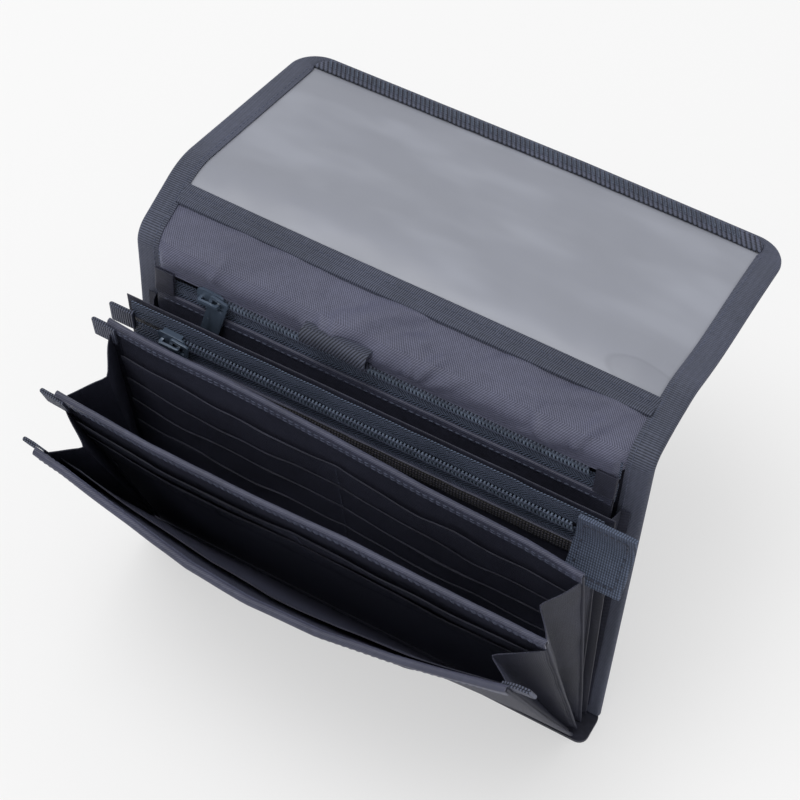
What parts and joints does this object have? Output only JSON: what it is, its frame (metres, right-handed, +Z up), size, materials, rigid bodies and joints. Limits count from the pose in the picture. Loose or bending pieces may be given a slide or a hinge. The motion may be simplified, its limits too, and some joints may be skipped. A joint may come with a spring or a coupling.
{
  "type": "stationery pouch",
  "caption": "Accordion organiser pouch standing open: zip pockets, card dividers, pen loop, and a wide folding flap with a clear pocket.",
  "frame": {"origin": "middle of the base panel's flat underside, on which the pouch stands", "axes": "+X along the pouch's width, to its right as the user faces it; -Y towards the user, the side that the leaves fan out to; +Z up"},
  "size_m": [0.217, 0.2083, 0.1695],
  "materials": {
    "outer_board": "matte",
    "divider_board": "matte",
    "pocket_cloth": "matte",
    "slot_cloth": "matte",
    "gusset_cloth": "matte",
    "fold_cloth": "matte",
    "flap_cloth": "matte",
    "lining": "matte",
    "edge_tape": "matte",
    "ribbon": "matte",
    "elastic": "matte",
    "mouth_webbing": "matte",
    "mesh": "matte",
    "hook_tape": "matte",
    "loop_tape": "matte",
    "zip_tape": "matte",
    "zip_coil": "satin",
    "zip_metal": "gloss",
    "clear_vinyl": "gloss"
  },
  "bodies": {
    "back": {"base_panel": "outer_board", "back_panel": "outer_board", "back_binding_left": "edge_tape", "back_binding_right": "edge_tape", "pen_loop": "elastic", "rear_pocket_wall": "pocket_cloth", "rear_card_slots": "slot_cloth", "rear_zip_upper_tape": "zip_tape", "rear_zip_lower_tape": "zip_tape", "rear_zip_chain": "zip_coil", "rear_zip_left_stay": "ribbon", "rear_zip_right_stay": "ribbon", "back_fold": "fold_cloth", "rear_gusset_left": "gusset_cloth", "rear_gusset_right": "gusset_cloth"},
    "rear_slider": {"rear_zip_slider": "zip_metal"},
    "rear_pull": {"rear_zip_pull": "zip_metal"},
    "spine": {"spine_panel": "flap_cloth", "spine_binding_left": "edge_tape", "spine_binding_right": "edge_tape", "window_mouth_webbing": "mouth_webbing", "spine_window": "clear_vinyl", "lid_fold": "fold_cloth"},
    "lid": {"lid_panel": "flap_cloth", "lid_window": "clear_vinyl", "lid_binding": "edge_tape", "hook_strip": "hook_tape"},
    "centre_pocket": {"centre_rear_wall": "pocket_cloth", "centre_front_wall": "pocket_cloth", "centre_zip_upper_tape": "zip_tape", "centre_zip_lower_tape": "zip_tape", "centre_zip_chain": "zip_coil", "centre_mesh_band": "mesh", "centre_zip_end_tab": "ribbon", "centre_left_tab": "ribbon", "centre_gusset_left": "gusset_cloth", "centre_gusset_right": "gusset_cloth"},
    "centre_slider": {"centre_zip_slider": "zip_metal"},
    "centre_pull": {"centre_zip_pull": "zip_metal"},
    "card_divider": {"card_divider_board": "divider_board", "card_slots_1": "slot_cloth", "card_slots_2": "slot_cloth", "card_slots_3": "slot_cloth", "card_slots_4": "slot_cloth", "card_left_tab": "ribbon", "card_gusset_left": "gusset_cloth", "card_gusset_right": "gusset_cloth"},
    "note_divider": {"note_divider_board": "divider_board", "note_slots_1": "slot_cloth", "note_slots_2": "slot_cloth", "note_left_tab": "ribbon", "note_gusset_left": "gusset_cloth", "note_gusset_right": "gusset_cloth"},
    "front": {"front_panel": "outer_board", "front_slip_pocket": "lining", "loop_strip": "loop_tape", "front_left_tab": "ribbon", "front_right_tab": "ribbon"}
  },
  "joints": [
    {"name": "flap_spine", "type": "hinge", "parent": "back", "child": "spine", "pos_m": [0, 0.02001, 0.15701], "axis": [1, 0, 0], "range_deg": [0, 153.4], "deforming": ["back_fold"]},
    {"name": "flap_lid", "type": "hinge", "parent": "spine", "child": "lid", "pos_m": [0, 0.04828, 0.16764], "axis": [1, 0, 0], "range_deg": [0, 126.3], "deforming": ["lid_fold"]},
    {"name": "centre_fan", "type": "hinge", "parent": "back", "child": "centre_pocket", "pos_m": [0, 0.0031, 0.0023], "axis": [1, 0, 0], "range_deg": [-3.2, 0], "deforming": ["rear_gusset_left", "rear_gusset_right"]},
    {"name": "card_fan", "type": "hinge", "parent": "centre_pocket", "child": "card_divider", "pos_m": [0, -0.0003, 0.0023], "axis": [1, 0, 0], "range_deg": [-3.2, 0], "deforming": ["centre_gusset_left", "centre_gusset_right"]},
    {"name": "note_fan", "type": "hinge", "parent": "card_divider", "child": "note_divider", "pos_m": [0, -0.0036, 0.0023], "axis": [1, 0, 0], "range_deg": [-11.85, 0], "deforming": ["card_gusset_left", "card_gusset_right"]},
    {"name": "front_fan", "type": "hinge", "parent": "note_divider", "child": "front", "pos_m": [0, -0.007, 0.0026], "axis": [1, 0, 0], "range_deg": [-9.9, 0], "deforming": ["note_gusset_left", "note_gusset_right"]},
    {"name": "rear_zip_travel", "type": "slide", "parent": "back", "child": "rear_slider", "axis": [1, 0, 0], "range_m": [0, 0.15], "deforming": ["rear_zip_chain"]},
    {"name": "rear_pull_swing", "type": "hinge", "parent": "rear_slider", "child": "rear_pull", "pos_m": [-0.0662, 0.01639, 0.14377], "axis": [0, -0.9962, 0.0872], "range_deg": [-15, 105]},
    {"name": "centre_zip_travel", "type": "slide", "parent": "centre_pocket", "child": "centre_slider", "axis": [1, 0, 0], "range_m": [0, 0.158], "deforming": ["centre_zip_chain"]},
    {"name": "centre_pull_swing", "type": "hinge", "parent": "centre_slider", "child": "centre_pull", "pos_m": [-0.0742, 0.00082, 0.13129], "axis": [0, -1, -0.0087], "range_deg": [-22, 98]}
  ],
  "couplings": [
    {"joint": "flap_lid", "follows": "flap_spine", "ratio": 0.82333},
    {"joint": "centre_fan", "follows": "flap_spine", "ratio": -0.02086},
    {"joint": "card_fan", "follows": "flap_spine", "ratio": -0.02086},
    {"joint": "note_fan", "follows": "flap_spine", "ratio": -0.07724},
    {"joint": "front_fan", "follows": "flap_spine", "ratio": -0.06453}
  ]
}
